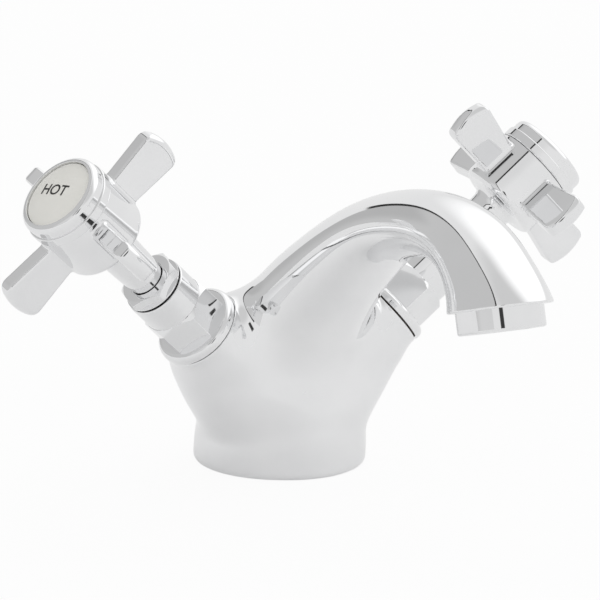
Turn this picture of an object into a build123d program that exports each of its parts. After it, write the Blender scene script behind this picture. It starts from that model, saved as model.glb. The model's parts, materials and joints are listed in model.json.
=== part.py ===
from build123d import *
import math
import os

# Basin mixer tap with two screw-down valves, crosshead handles and an arched spout.
# Millimetres. The origin is the centre of the base's lower face, +Z is up, the spout points
# towards -Y, the hot valve is on the -X side and the cold valve on the +X side.

# Foot of the casting: a round base that draws in to a slight waist
BASE_RADIUS = 25.0
BASE_ROUND = 2.4
FOOT_HEIGHT = 6.0
WAIST_RADIUS = 24.2
WAIST_HEIGHT = 11.5

# Valve axes: both start here and rise outwards, swept a little towards the spout
VALVE_ORIGIN = Vector(0, -0.8, 15.6)
VALVE_RISE = 41.4
VALVE_SWEEP = 10.7

# Shoulders of the casting, between the waist and the valve faces, measured along a valve axis
SHOULDER_START = 9.5
SHOULDER_START_RADIUS = 23.9
SHOULDER_MIDDLE = 26.0
SHOULDER_RADIUS = 16.3
BOSS_FACE = 41.6
BOSS_RADIUS = 12.2

# Spout, from the waist to past the mouth: centre in the YZ plane, half width, half height
# and slope of the centre line in degrees
SPOUT_SECTIONS = (
    (0.0, WAIST_HEIGHT, WAIST_RADIUS, WAIST_RADIUS, 90.0),
    (-2.5, 24.0, 29.0, 21.5, 76.0),
    (-7.5, 37.5, 24.5, 18.0, 57.0),
    (-17.0, 50.0, 18.0, 15.4, 45.0),
    (-28.6, 60.3, 14.6, 13.5, 38.5),
    (-43.3, 70.9, 13.1, 11.6, 32.0),
    (-58.2, 78.9, 12.3, 9.7, 22.0),
    (-73.6, 83.1, 12.0, 9.1, 9.5),
    (-88.6, 84.0, 12.0, 8.7, -5.6),
    (-101.3, 80.4, 12.3, 9.1, -27.4),
    (-109.8, 73.0, 13.2, 11.6, -49.0),
    (-114.2, 65.4, 14.5, 15.0, -67.0),
    (-116.4, 57.0, 15.4, 16.4, -75.0),
)
SPOUT_BORE_SHARE = 0.52
SPOUT_BORE_FIRST = 2
SPOUT_BORE_LAST = 11

# Outlet: the mouth is cut flat and leans forward
MOUTH_CENTRE = Vector(0, -113.3, 67.5)
MOUTH_TILT = 16.0
MOUTH_CUT_RADIUS = 26.0
MOUTH_CUT_DEPTH = 30.0
AERATOR_BORE_RADIUS = 10.95
AERATOR_BORE_DEPTH = 5.4
AERATOR_THREAD_RADIUS = 10.9
AERATOR_THREAD_LENGTH = 4.2
AERATOR_COLLAR_RADIUS = 11.75
AERATOR_COLLAR_LENGTH = 6.0
AERATOR_WASHER_THICKNESS = 1.1
AERATOR_WASHER_BORE = 7.5
AERATOR_CHAMBER_RADIUS = 9.6
AERATOR_LIP_RADIUS = 8.9
AERATOR_LIP_LENGTH = 0.8
AERATOR_FLAT_WIDTH = 22.4
INSERT_RADIUS = 9.55
INSERT_LENGTH = 6.4
INSERT_JET_RADIUS = 0.7
INSERT_JET_RINGS = ((3.2, 6), (6.2, 12))
MESH_THICKNESS = 0.8
MESH_HOLE = 1.5
MESH_PITCH = 2.1
MESH_FIELD_RADIUS = 8.2

# Waterways and fixing holes in the casting
INLET_OFFSET_X = 9.4
INLET_OFFSET_Y = -2.4
INLET_THREAD_RADIUS = 4.5
INLET_THREAD_DEPTH = 11.0
INLET_CHANNEL_RADIUS = 3.4
INLET_CHANNEL_TOP = 24.5
STUD_OFFSET_Y = 10.5
STUD_THREAD_RADIUS = 3.4
STUD_THREAD_DEPTH = 14.0
SEAL_GROOVE_INNER = 17.2
SEAL_GROOVE_OUTER = 22.2
SEAL_GROOVE_DEPTH = 2.2
SEAL_THICKNESS = 2.0
SEAL_SIDE_GAP = 0.1
ORIFICE_RADIUS = 4.0
ORIFICE_START = 12.0
CHAMBER_RADIUS = 9.0
CHAMBER_FLOOR = 21.0
SEAT_RADIUS = 5.6
SEAT_FACE = 24.0
BONNET_BORE_RADIUS = 10.4
BONNET_BORE_START = 30.0
PORT_RADIUS = 4.0
PORT_DISTANCE = 26.5
PORT_END = Vector(0, -5.0, 34.0)

# Valve pieces, as distances along the valve axis and radii
FIT = 0.05
WASHER_RADIUS = 11.6
WASHER_TOP = 42.0
BONNET_FLANGE_RADIUS = 12.4
BONNET_FLANGE_TOP = 45.0
BONNET_FLANGE_ROUND = 2.0
BONNET_HEX_WIDTH = 18.2
BONNET_HEX_TOP = 54.6
BONNET_HEX_TOP_RADIUS = 9.1
BONNET_HEX_CHAMFER = 1.6
BONNET_BARREL_RADIUS = 9.0
BONNET_TOP = 63.2
BONNET_SKIRT_RADIUS = 7.4
BONNET_SKIRT_TOP = 38.0
SPINDLE_THREAD_RADIUS = 6.0
SPINDLE_THREAD_START = 32.0
SPINDLE_THREAD_END = 44.0
BONNET_THREAD_END = 50.0
SPINDLE_RADIUS = 4.6
PACKING_SEAT = 53.0
PACKING_TOP = 57.5
GLAND_BORE_RADIUS = 6.5
GLAND_RING_RADIUS = 7.8
GLAND_NUT_SEAT = 63.8
GLAND_NUT_FACE = 64.3
GLAND_NUT_FACE_RADIUS = 8.7
GLAND_NUT_TOP = 67.3
GLAND_NUT_WIDTH = 15.8
GLAND_NUT_TOP_RADIUS = 7.8
GLAND_NUT_CHAMFER = 0.9
GLAND_NUT_CHAMFER_RADIUS = 9.3
GLAND_RECESS_RADIUS = 5.5
GLAND_RECESS_DEPTH = 1.6
SPINDLE_FOOT_RADIUS = 5.2
SPINDLE_FOOT = 30.1
SPINDLE_TOP = 92.0
JUMPER_STEM_RADIUS = 2.45
JUMPER_STEM_TOP = 37.0
JUMPER_SOCKET_TOP = 38.0
JUMPER_PLATE_RADIUS = 6.2
JUMPER_PLATE_BOTTOM = 27.3
JUMPER_PLATE_TOP = 29.8
JUMPER_STUD_RADIUS = 1.5
JUMPER_STUD_BOTTOM = 22.0
TAP_WASHER_RADIUS = 6.0
TAP_WASHER_BOTTOM = 24.3
JUMPER_NUT_WIDTH = 5.5
JUMPER_NUT_BOTTOM = 22.2
SCREW_RADIUS = 2.1
SCREW_BOTTOM = 82.0
SCREW_HOLE_BOTTOM = 81.0
SCREW_HEAD_RADIUS = 3.8
SCREW_HEAD_TOP = 98.0
SCREW_SLOT_WIDTH = 1.2
SCREW_SLOT_DEPTH = 1.4

# Crosshead handle and its index
SLEEVE_BOTTOM = 66.0
SLEEVE_RADIUS = 5.2
NECK_BOTTOM = 69.6
NECK_BOTTOM_RADIUS = 5.5
NECK_TOP = 84.8
NECK_TOP_RADIUS = 6.2
HUB_BOTTOM = 86.2
HUB_ROUND = 2.0
HUB_RADIUS = 12.6
HUB_TOP = 102.0
HUB_FLOOR_BOTTOM = 92.2
HUB_FLOOR_TOP = 95.0
HUB_RECESS_RADIUS = 10.5
ARM_COUNT = 4
ARM_CENTRE = 94.4
ARM_ROOT = 7.0
ARM_REACH = 30.6
ARM_ROOT_WIDTH = 9.6
ARM_TIP_WIDTH = 13.4
ARM_TIP_BULGE = 1.7
ARM_CORNER = 2.4
ARM_THICKNESS = 5.2
ARM_EDGE = 1.4
CAP_RING_RADIUS = 13.0
CAP_STEP = 105.0
CAP_BEZEL_RADIUS = 12.5
CAP_TOP = 108.9
CAP_ROUND = 1.9
CAP_SLEEVE_BOTTOM = 98.6
CAP_SLEEVE_BORE = 8.8
CAP_LEDGE = 104.0
CAP_GAP = 0.05
BUTTON_SEAT_RADIUS = 10.5
BUTTON_RADIUS = 10.45
BUTTON_RIM = 108.2
BUTTON_CROWN = 109.0

# Each side: name prefix, sign of X, turn of a handle arm, of a bonnet corner and of a gland nut corner
SIDES = (
    ("hot", -1, -16.0, 17.0, 6.0),
    ("cold", 1, 13.0, 30.0, -6.0),
)

MOUTH_NORMAL = Vector(0, -math.sin(math.radians(MOUTH_TILT)), -math.cos(math.radians(MOUTH_TILT)))


def valve_axis(sign):
    """The outward direction of one valve."""
    rise = math.radians(VALVE_RISE)
    sweep = math.radians(VALVE_SWEEP)
    return Vector(
        sign * math.cos(rise) * math.cos(sweep),
        -math.cos(rise) * math.sin(sweep),
        math.sin(rise),
    )


def profile_plane(direction, turn=0.0):
    """A plane through a valve axis: local X is the radius, local Y the distance along the axis."""
    up = (Vector(0, 0, 1) - direction * direction.Z).normalized()
    radial = up.rotate(Axis(VALVE_ORIGIN, direction), turn)
    return Plane(origin=VALVE_ORIGIN, x_dir=radial, z_dir=radial.cross(direction))


def cross_plane(direction, distance, turn=0.0):
    """A plane square to a valve axis at a distance along it."""
    radial = profile_plane(direction, turn).x_dir
    return Plane(origin=VALVE_ORIGIN + direction * distance, x_dir=radial, z_dir=direction)


def mouth_plane(inward):
    """A plane parallel to the spout's mouth, some way up inside it, looking out of it."""
    return Plane(origin=MOUTH_CENTRE - MOUTH_NORMAL * inward, x_dir=(1, 0, 0), z_dir=MOUTH_NORMAL)


def spout_plane(section):
    """A plane square to the spout's centre line at one of its sections."""
    angle = math.radians(section[4])
    return Plane(
        origin=(0, section[0], section[1]),
        x_dir=(1, 0, 0),
        z_dir=(0, -math.cos(angle), math.sin(angle)),
    )


def turned(direction, points):
    """A solid turned about a valve axis from points of radius and distance."""
    with BuildPart() as solid:
        with BuildSketch(profile_plane(direction)):
            with BuildLine():
                Polyline(*points, close=True)
            make_face()
        revolve(axis=Axis(VALVE_ORIGIN, direction))
    return solid


def ring_points(inner, outer, bottom, top):
    """The section of a plain ring."""
    return (inner, bottom), (outer, bottom), (outer, top), (inner, top)


def save(node, label):
    """Label a finished piece and write it to its own file."""
    node.part.label = label
    export_step(node.part, f"parts/{label}.step")


os.makedirs("parts", exist_ok=True)
directions = {side[1]: valve_axis(side[1]) for side in SIDES}

# Body casting: foot, shoulders and spout, then waterways, seats and tapped holes
with BuildPart() as body_casting:
    with BuildSketch(Plane.XZ):
        with BuildLine():
            Polyline(
                (0, WAIST_HEIGHT),
                (0, 0),
                (BASE_RADIUS - BASE_ROUND, 0),
            )
            RadiusArc((BASE_RADIUS - BASE_ROUND, 0), (BASE_RADIUS, BASE_ROUND), -BASE_ROUND)
            Line((BASE_RADIUS, BASE_ROUND), (BASE_RADIUS, FOOT_HEIGHT))
            Spline(
                (BASE_RADIUS, FOOT_HEIGHT),
                (WAIST_RADIUS, WAIST_HEIGHT),
                tangents=((0, 1), (0, 1)),
            )
            Line((WAIST_RADIUS, WAIST_HEIGHT), (0, WAIST_HEIGHT))
        make_face()
    revolve(axis=Axis.Z)
    for direction in directions.values():
        inward = Vector(-direction.X, -direction.Y, 0)
        with BuildSketch(Plane(origin=(0, 0, SHOULDER_START), x_dir=inward, z_dir=(0, 0, 1))):
            Circle(SHOULDER_START_RADIUS)
        with BuildSketch(cross_plane(direction, SHOULDER_MIDDLE)):
            Circle(SHOULDER_RADIUS)
        with BuildSketch(cross_plane(direction, BOSS_FACE)):
            Circle(BOSS_RADIUS)
        loft()
    for section in SPOUT_SECTIONS:
        with BuildSketch(spout_plane(section)):
            Ellipse(section[2], section[3])
    loft()
    # Flat cut at the mouth
    with BuildSketch(mouth_plane(0)):
        Circle(MOUTH_CUT_RADIUS)
    extrude(amount=MOUTH_CUT_DEPTH, mode=Mode.SUBTRACT)
    # Bore of the spout, from the mixing space to the mouth
    for section in SPOUT_SECTIONS[SPOUT_BORE_FIRST:SPOUT_BORE_LAST + 1]:
        with BuildSketch(spout_plane(section)):
            Circle(section[3] * SPOUT_BORE_SHARE)
    loft(mode=Mode.SUBTRACT)
    with BuildSketch(mouth_plane(AERATOR_BORE_DEPTH)):
        Circle(AERATOR_BORE_RADIUS)
    extrude(amount=AERATOR_BORE_DEPTH, mode=Mode.SUBTRACT)
    # Valve chambers with raised seats, and the ports that lead on to the spout
    for sign, direction in directions.items():
        with BuildSketch(profile_plane(direction)):
            with BuildLine():
                Polyline(
                    (0, ORIFICE_START),
                    (ORIFICE_RADIUS, ORIFICE_START),
                    (ORIFICE_RADIUS, SEAT_FACE),
                    (SEAT_RADIUS, SEAT_FACE),
                    (SEAT_RADIUS, CHAMBER_FLOOR),
                    (CHAMBER_RADIUS, CHAMBER_FLOOR),
                    (CHAMBER_RADIUS, BONNET_BORE_START),
                    (BONNET_BORE_RADIUS, BONNET_BORE_START),
                    (BONNET_BORE_RADIUS, BOSS_FACE),
                    (0, BOSS_FACE),
                    close=True,
                )
            make_face()
        revolve(axis=Axis(VALVE_ORIGIN, direction), mode=Mode.SUBTRACT)
        port_start = VALVE_ORIGIN + direction * PORT_DISTANCE
        port_run = PORT_END - port_start
        chamber_wall = port_start + port_run.normalized() * CHAMBER_RADIUS
        with BuildSketch(Plane(origin=chamber_wall, z_dir=port_run)):
            Circle(PORT_RADIUS)
        extrude(amount=port_run.length - CHAMBER_RADIUS, mode=Mode.SUBTRACT)
        with Locations((sign * INLET_OFFSET_X, INLET_OFFSET_Y, 0)):
            Cylinder(
                INLET_THREAD_RADIUS,
                INLET_THREAD_DEPTH,
                align=(Align.CENTER, Align.CENTER, Align.MIN),
                mode=Mode.SUBTRACT,
            )
            Cylinder(
                INLET_CHANNEL_RADIUS,
                INLET_CHANNEL_TOP,
                align=(Align.CENTER, Align.CENTER, Align.MIN),
                mode=Mode.SUBTRACT,
            )
    with Locations((0, STUD_OFFSET_Y, 0)):
        Cylinder(
            STUD_THREAD_RADIUS,
            STUD_THREAD_DEPTH,
            align=(Align.CENTER, Align.CENTER, Align.MIN),
            mode=Mode.SUBTRACT,
        )
    with BuildSketch(Plane.XY):
        Circle(SEAL_GROOVE_OUTER)
        Circle(SEAL_GROOVE_INNER, mode=Mode.SUBTRACT)
    extrude(amount=SEAL_GROOVE_DEPTH, mode=Mode.SUBTRACT)
save(body_casting, "body_casting")

# Rubber ring under the foot, held in its groove
with BuildPart() as base_seal:
    with BuildSketch(Plane.XY.offset(SEAL_GROOVE_DEPTH - SEAL_THICKNESS)):
        Circle(SEAL_GROOVE_OUTER - SEAL_SIDE_GAP)
        Circle(SEAL_GROOVE_INNER + SEAL_SIDE_GAP, mode=Mode.SUBTRACT)
    extrude(amount=SEAL_THICKNESS)
save(base_seal, "base_seal")

# Aerator collar: threaded top inside the mouth, plain collar with two spanner flats below it
with BuildPart() as aerator_housing:
    with BuildSketch(mouth_plane(AERATOR_THREAD_LENGTH)):
        Circle(AERATOR_THREAD_RADIUS)
    extrude(amount=AERATOR_THREAD_LENGTH)
    with BuildSketch(mouth_plane(0)):
        Circle(AERATOR_COLLAR_RADIUS)
        Rectangle(AERATOR_FLAT_WIDTH, 2 * AERATOR_COLLAR_RADIUS, mode=Mode.INTERSECT)
    extrude(amount=AERATOR_COLLAR_LENGTH)
    with BuildSketch(mouth_plane(AERATOR_THREAD_LENGTH)):
        Circle(AERATOR_CHAMBER_RADIUS)
    extrude(
        amount=AERATOR_THREAD_LENGTH + AERATOR_COLLAR_LENGTH - AERATOR_LIP_LENGTH,
        mode=Mode.SUBTRACT,
    )
    with BuildSketch(mouth_plane(0)):
        Circle(AERATOR_LIP_RADIUS)
    extrude(amount=AERATOR_COLLAR_LENGTH, mode=Mode.SUBTRACT)
save(aerator_housing, "aerator_housing")

# Outlet screen, resting on the collar's lip
lip_level = AERATOR_LIP_LENGTH - AERATOR_COLLAR_LENGTH
mesh_reach = int(MESH_FIELD_RADIUS // MESH_PITCH)
mesh_cells = [
    (column * MESH_PITCH, row * MESH_PITCH)
    for column in range(-mesh_reach, mesh_reach + 1)
    for row in range(-mesh_reach, mesh_reach + 1)
    if math.hypot(column, row) * MESH_PITCH < MESH_FIELD_RADIUS
]
with BuildPart() as aerator_mesh:
    with BuildSketch(mouth_plane(lip_level + MESH_THICKNESS)):
        Circle(INSERT_RADIUS)
        with Locations(*mesh_cells):
            Rectangle(MESH_HOLE, MESH_HOLE, mode=Mode.SUBTRACT)
    extrude(amount=MESH_THICKNESS)
save(aerator_mesh, "aerator_mesh")

# Flow former above the screen, with rings of jet holes
insert_bottom = lip_level + MESH_THICKNESS
with BuildPart() as aerator_insert:
    with BuildSketch(mouth_plane(insert_bottom + INSERT_LENGTH)):
        Circle(INSERT_RADIUS)
        for ring_radius, jet_count in INSERT_JET_RINGS:
            with PolarLocations(ring_radius, jet_count):
                Circle(INSERT_JET_RADIUS, mode=Mode.SUBTRACT)
    extrude(amount=INSERT_LENGTH)
save(aerator_insert, "aerator_insert")

# Flat seal between the aerator and the casting
with BuildPart() as aerator_washer:
    with BuildSketch(mouth_plane(AERATOR_THREAD_LENGTH + AERATOR_WASHER_THICKNESS)):
        Circle(AERATOR_THREAD_RADIUS)
        Circle(AERATOR_WASHER_BORE, mode=Mode.SUBTRACT)
    extrude(amount=AERATOR_WASHER_THICKNESS)
save(aerator_washer, "aerator_washer")

for name, sign, arm_turn, bonnet_turn, gland_turn in SIDES:
    direction = directions[sign]
    axis = Axis(VALVE_ORIGIN, direction)

    # Fibre washer under the bonnet's flange
    bonnet_washer = turned(
        direction,
        ring_points(BONNET_BORE_RADIUS, WASHER_RADIUS, BOSS_FACE, WASHER_TOP),
    )
    save(bonnet_washer, f"{name}_bonnet_washer")

    # Bonnet: screwed skirt, round flange, hexagon and barrel, bored for the spindle and packing
    with BuildPart() as bonnet:
        with BuildSketch(cross_plane(direction, BONNET_FLANGE_TOP, bonnet_turn)):
            RegularPolygon(BONNET_HEX_WIDTH / 2, 6, major_radius=False)
        extrude(amount=BONNET_HEX_TOP - BONNET_FLANGE_TOP)
        with BuildSketch(profile_plane(direction)):
            with BuildLine():
                Polyline(
                    (0, BONNET_FLANGE_TOP),
                    (BONNET_HEX_TOP_RADIUS + BONNET_HEX_CHAMFER, BONNET_FLANGE_TOP),
                    (BONNET_HEX_TOP_RADIUS + BONNET_HEX_CHAMFER, BONNET_HEX_TOP - BONNET_HEX_CHAMFER),
                    (BONNET_HEX_TOP_RADIUS, BONNET_HEX_TOP),
                    (0, BONNET_HEX_TOP),
                    close=True,
                )
            make_face()
        revolve(axis=axis, mode=Mode.INTERSECT)
        with BuildSketch(profile_plane(direction)):
            with BuildLine():
                flange_side = (BONNET_FLANGE_RADIUS, BONNET_FLANGE_TOP - BONNET_FLANGE_ROUND)
                flange_face = (BONNET_FLANGE_RADIUS - BONNET_FLANGE_ROUND, BONNET_FLANGE_TOP)
                RadiusArc(flange_side, flange_face, -BONNET_FLANGE_ROUND)
                Polyline(
                    flange_face,
                    (BONNET_BARREL_RADIUS, BONNET_FLANGE_TOP),
                    (BONNET_BARREL_RADIUS, BONNET_TOP),
                    (0, BONNET_TOP),
                    (0, BONNET_BORE_START),
                    (BONNET_BORE_RADIUS - FIT, BONNET_BORE_START),
                    (BONNET_BORE_RADIUS - FIT, WASHER_TOP),
                    (BONNET_FLANGE_RADIUS, WASHER_TOP),
                    flange_side,
                )
            make_face()
        revolve(axis=axis)
        with BuildSketch(profile_plane(direction)):
            with BuildLine():
                Polyline(
                    (0, BONNET_BORE_START),
                    (BONNET_SKIRT_RADIUS, BONNET_BORE_START),
                    (BONNET_SKIRT_RADIUS, BONNET_SKIRT_TOP),
                    (SPINDLE_THREAD_RADIUS + FIT, BONNET_SKIRT_TOP),
                    (SPINDLE_THREAD_RADIUS + FIT, BONNET_THREAD_END),
                    (SPINDLE_RADIUS + FIT, BONNET_THREAD_END),
                    (SPINDLE_RADIUS + FIT, PACKING_SEAT),
                    (GLAND_BORE_RADIUS, PACKING_SEAT),
                    (GLAND_BORE_RADIUS, BONNET_TOP),
                    (0, BONNET_TOP),
                    close=True,
                )
            make_face()
        revolve(axis=axis, mode=Mode.SUBTRACT)
    save(bonnet, f"{name}_bonnet")

    # Packing round the spindle and the dark ring under the gland nut
    gland_packing = turned(
        direction,
        ring_points(SPINDLE_RADIUS + FIT, GLAND_BORE_RADIUS - FIT, PACKING_SEAT, PACKING_TOP),
    )
    save(gland_packing, f"{name}_gland_packing")
    gland_ring = turned(
        direction,
        ring_points(GLAND_BORE_RADIUS, GLAND_RING_RADIUS, BONNET_TOP, GLAND_NUT_SEAT),
    )
    save(gland_ring, f"{name}_gland_ring")

    # Gland nut: hexagon on a round face, with a screwed sleeve that presses on the packing
    with BuildPart() as gland_nut:
        with BuildSketch(cross_plane(direction, GLAND_NUT_FACE, gland_turn)):
            RegularPolygon(GLAND_NUT_WIDTH / 2, 6, major_radius=False)
        extrude(amount=GLAND_NUT_TOP - GLAND_NUT_FACE)
        with BuildSketch(profile_plane(direction)):
            with BuildLine():
                Polyline(
                    (0, GLAND_NUT_FACE),
                    (GLAND_NUT_CHAMFER_RADIUS, GLAND_NUT_FACE),
                    (GLAND_NUT_CHAMFER_RADIUS, GLAND_NUT_TOP - GLAND_NUT_CHAMFER),
                    (GLAND_NUT_TOP_RADIUS, GLAND_NUT_TOP),
                    (0, GLAND_NUT_TOP),
                    close=True,
                )
            make_face()
        revolve(axis=axis, mode=Mode.INTERSECT)
        with BuildSketch(cross_plane(direction, GLAND_NUT_SEAT)):
            Circle(GLAND_NUT_FACE_RADIUS)
        extrude(amount=GLAND_NUT_FACE - GLAND_NUT_SEAT)
        with BuildSketch(cross_plane(direction, PACKING_TOP)):
            Circle(GLAND_BORE_RADIUS - FIT)
        extrude(amount=GLAND_NUT_SEAT - PACKING_TOP)
        with BuildSketch(cross_plane(direction, PACKING_TOP)):
            Circle(SPINDLE_RADIUS + FIT)
        extrude(amount=GLAND_NUT_TOP - PACKING_TOP, mode=Mode.SUBTRACT)
        with BuildSketch(cross_plane(direction, GLAND_NUT_TOP - GLAND_RECESS_DEPTH)):
            Circle(GLAND_RECESS_RADIUS)
        extrude(amount=GLAND_RECESS_DEPTH, mode=Mode.SUBTRACT)
    save(gland_nut, f"{name}_gland_nut")

    # Spindle: screwed lower end, plain stem, socket for the jumper and a tapped top
    spindle = turned(
        direction,
        (
            (JUMPER_STEM_RADIUS + FIT, SPINDLE_FOOT),
            (SPINDLE_FOOT_RADIUS, SPINDLE_FOOT),
            (SPINDLE_FOOT_RADIUS, SPINDLE_THREAD_START),
            (SPINDLE_THREAD_RADIUS, SPINDLE_THREAD_START),
            (SPINDLE_THREAD_RADIUS, SPINDLE_THREAD_END),
            (SPINDLE_RADIUS, SPINDLE_THREAD_END),
            (SPINDLE_RADIUS, SPINDLE_TOP),
            (SCREW_RADIUS + FIT, SPINDLE_TOP),
            (SCREW_RADIUS + FIT, SCREW_HOLE_BOTTOM),
            (0, SCREW_HOLE_BOTTOM),
            (0, JUMPER_SOCKET_TOP),
            (JUMPER_STEM_RADIUS + FIT, JUMPER_SOCKET_TOP),
        ),
    )
    save(spindle, f"{name}_spindle")

    # Jumper: stem in the spindle, plate, and a stud for the washer
    jumper = turned(
        direction,
        (
            (0, JUMPER_STUD_BOTTOM),
            (JUMPER_STUD_RADIUS, JUMPER_STUD_BOTTOM),
            (JUMPER_STUD_RADIUS, JUMPER_PLATE_BOTTOM),
            (JUMPER_PLATE_RADIUS, JUMPER_PLATE_BOTTOM),
            (JUMPER_PLATE_RADIUS, JUMPER_PLATE_TOP),
            (JUMPER_STEM_RADIUS, JUMPER_PLATE_TOP),
            (JUMPER_STEM_RADIUS, JUMPER_STEM_TOP),
            (0, JUMPER_STEM_TOP),
        ),
    )
    save(jumper, f"{name}_jumper")
    tap_washer = turned(
        direction,
        ring_points(
            JUMPER_STUD_RADIUS + FIT,
            TAP_WASHER_RADIUS,
            TAP_WASHER_BOTTOM,
            JUMPER_PLATE_BOTTOM,
        ),
    )
    save(tap_washer, f"{name}_tap_washer")
    with BuildPart() as jumper_nut:
        with BuildSketch(cross_plane(direction, JUMPER_NUT_BOTTOM)):
            RegularPolygon(JUMPER_NUT_WIDTH / 2, 6, major_radius=False)
            Circle(JUMPER_STUD_RADIUS + FIT, mode=Mode.SUBTRACT)
        extrude(amount=TAP_WASHER_BOTTOM - JUMPER_NUT_BOTTOM)
    save(jumper_nut, f"{name}_jumper_nut")

    # Crosshead: four flared arms, barrel hub, neck and sleeve, bored for the spindle
    with BuildPart() as crosshead:
        for index in range(ARM_COUNT):
            arm_plane = profile_plane(direction, arm_turn + index * 360 / ARM_COUNT)
            with BuildSketch(arm_plane) as arm_sketch:
                with BuildLine():
                    root_low = (ARM_ROOT, ARM_CENTRE - ARM_ROOT_WIDTH / 2)
                    root_high = (ARM_ROOT, ARM_CENTRE + ARM_ROOT_WIDTH / 2)
                    tip_low = (ARM_REACH - ARM_TIP_BULGE, ARM_CENTRE - ARM_TIP_WIDTH / 2)
                    tip_high = (ARM_REACH - ARM_TIP_BULGE, ARM_CENTRE + ARM_TIP_WIDTH / 2)
                    Line(root_high, root_low)
                    Line(root_low, tip_low)
                    ThreePointArc(tip_low, (ARM_REACH, ARM_CENTRE), tip_high)
                    Line(tip_high, root_high)
                make_face()
                tip_corners = arm_sketch.vertices().sort_by_distance(
                    VALVE_ORIGIN + direction * ARM_CENTRE
                )[-2:]
                fillet(tip_corners, ARM_CORNER)
            extrude(amount=ARM_THICKNESS / 2, both=True)
        fillet(crosshead.edges(), ARM_EDGE)
        with BuildSketch(profile_plane(direction)):
            with BuildLine():
                Polyline(
                    (0, HUB_TOP),
                    (0, SLEEVE_BOTTOM),
                    (SLEEVE_RADIUS, SLEEVE_BOTTOM),
                    (SLEEVE_RADIUS, NECK_BOTTOM),
                    (NECK_BOTTOM_RADIUS, NECK_BOTTOM),
                    (NECK_TOP_RADIUS, NECK_TOP),
                    (NECK_TOP_RADIUS + HUB_BOTTOM - NECK_TOP, HUB_BOTTOM),
                    (HUB_RADIUS - HUB_ROUND, HUB_BOTTOM),
                )
                RadiusArc(
                    (HUB_RADIUS - HUB_ROUND, HUB_BOTTOM),
                    (HUB_RADIUS, HUB_BOTTOM + HUB_ROUND),
                    -HUB_ROUND,
                )
                Polyline((HUB_RADIUS, HUB_BOTTOM + HUB_ROUND), (HUB_RADIUS, HUB_TOP), (0, HUB_TOP))
            make_face()
        revolve(axis=axis)
        with BuildSketch(profile_plane(direction)):
            with BuildLine():
                Polyline(
                    (0, SLEEVE_BOTTOM),
                    (SPINDLE_RADIUS + FIT, SLEEVE_BOTTOM),
                    (SPINDLE_RADIUS + FIT, HUB_FLOOR_BOTTOM),
                    (SCREW_RADIUS + FIT, HUB_FLOOR_BOTTOM),
                    (SCREW_RADIUS + FIT, HUB_FLOOR_TOP),
                    (HUB_RECESS_RADIUS, HUB_FLOOR_TOP),
                    (HUB_RECESS_RADIUS, HUB_TOP),
                    (0, HUB_TOP),
                    close=True,
                )
            make_face()
        revolve(axis=axis, mode=Mode.SUBTRACT)
    save(crosshead, f"{name}_crosshead")

    # Slotted screw that holds the crosshead to the spindle
    with BuildPart() as handle_screw:
        with BuildSketch(cross_plane(direction, SCREW_BOTTOM)):
            Circle(SCREW_RADIUS)
        extrude(amount=HUB_FLOOR_TOP - SCREW_BOTTOM)
        with BuildSketch(cross_plane(direction, HUB_FLOOR_TOP)):
            Circle(SCREW_HEAD_RADIUS)
        extrude(amount=SCREW_HEAD_TOP - HUB_FLOOR_TOP)
        with BuildSketch(cross_plane(direction, SCREW_HEAD_TOP - SCREW_SLOT_DEPTH)):
            Rectangle(2 * SCREW_HEAD_RADIUS, SCREW_SLOT_WIDTH)
        extrude(amount=SCREW_SLOT_DEPTH, mode=Mode.SUBTRACT)
    save(handle_screw, f"{name}_handle_screw")

    # Cap ring: stepped, rounded bezel with a sleeve that screws into the hub
    with BuildPart() as cap_ring:
        with BuildSketch(profile_plane(direction)):
            with BuildLine():
                bezel_side = (CAP_BEZEL_RADIUS, CAP_TOP - CAP_ROUND)
                bezel_top = (CAP_BEZEL_RADIUS - CAP_ROUND, CAP_TOP)
                RadiusArc(bezel_side, bezel_top, -CAP_ROUND)
                Polyline(
                    bezel_top,
                    (BUTTON_SEAT_RADIUS, CAP_TOP),
                    (BUTTON_SEAT_RADIUS, CAP_LEDGE),
                    (CAP_SLEEVE_BORE, CAP_LEDGE),
                    (CAP_SLEEVE_BORE, CAP_SLEEVE_BOTTOM),
                    (HUB_RECESS_RADIUS - FIT, CAP_SLEEVE_BOTTOM),
                    (HUB_RECESS_RADIUS - FIT, HUB_TOP + CAP_GAP),
                    (CAP_RING_RADIUS, HUB_TOP + CAP_GAP),
                    (CAP_RING_RADIUS, CAP_STEP),
                    (CAP_BEZEL_RADIUS, CAP_STEP),
                    bezel_side,
                )
            make_face()
        revolve(axis=axis)
    save(cap_ring, f"{name}_cap_ring")

    # Porcelain index button with a slightly crowned face
    with BuildPart() as index_button:
        with BuildSketch(profile_plane(direction)):
            with BuildLine():
                Polyline((0, BUTTON_CROWN), (0, CAP_LEDGE), (BUTTON_RADIUS, CAP_LEDGE))
                Line((BUTTON_RADIUS, CAP_LEDGE), (BUTTON_RADIUS, BUTTON_RIM))
                crown_radius = (BUTTON_RADIUS**2 + (BUTTON_CROWN - BUTTON_RIM) ** 2) / (
                    2 * (BUTTON_CROWN - BUTTON_RIM)
                )
                RadiusArc((BUTTON_RADIUS, BUTTON_RIM), (0, BUTTON_CROWN), -crown_radius)
            make_face()
        revolve(axis=axis)
    save(index_button, f"{name}_index_button")
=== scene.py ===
import json
import math

import bmesh
import bpy
import numpy as np
from mathutils import Matrix, Vector
from mathutils.geometry import tessellate_polygon


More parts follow.
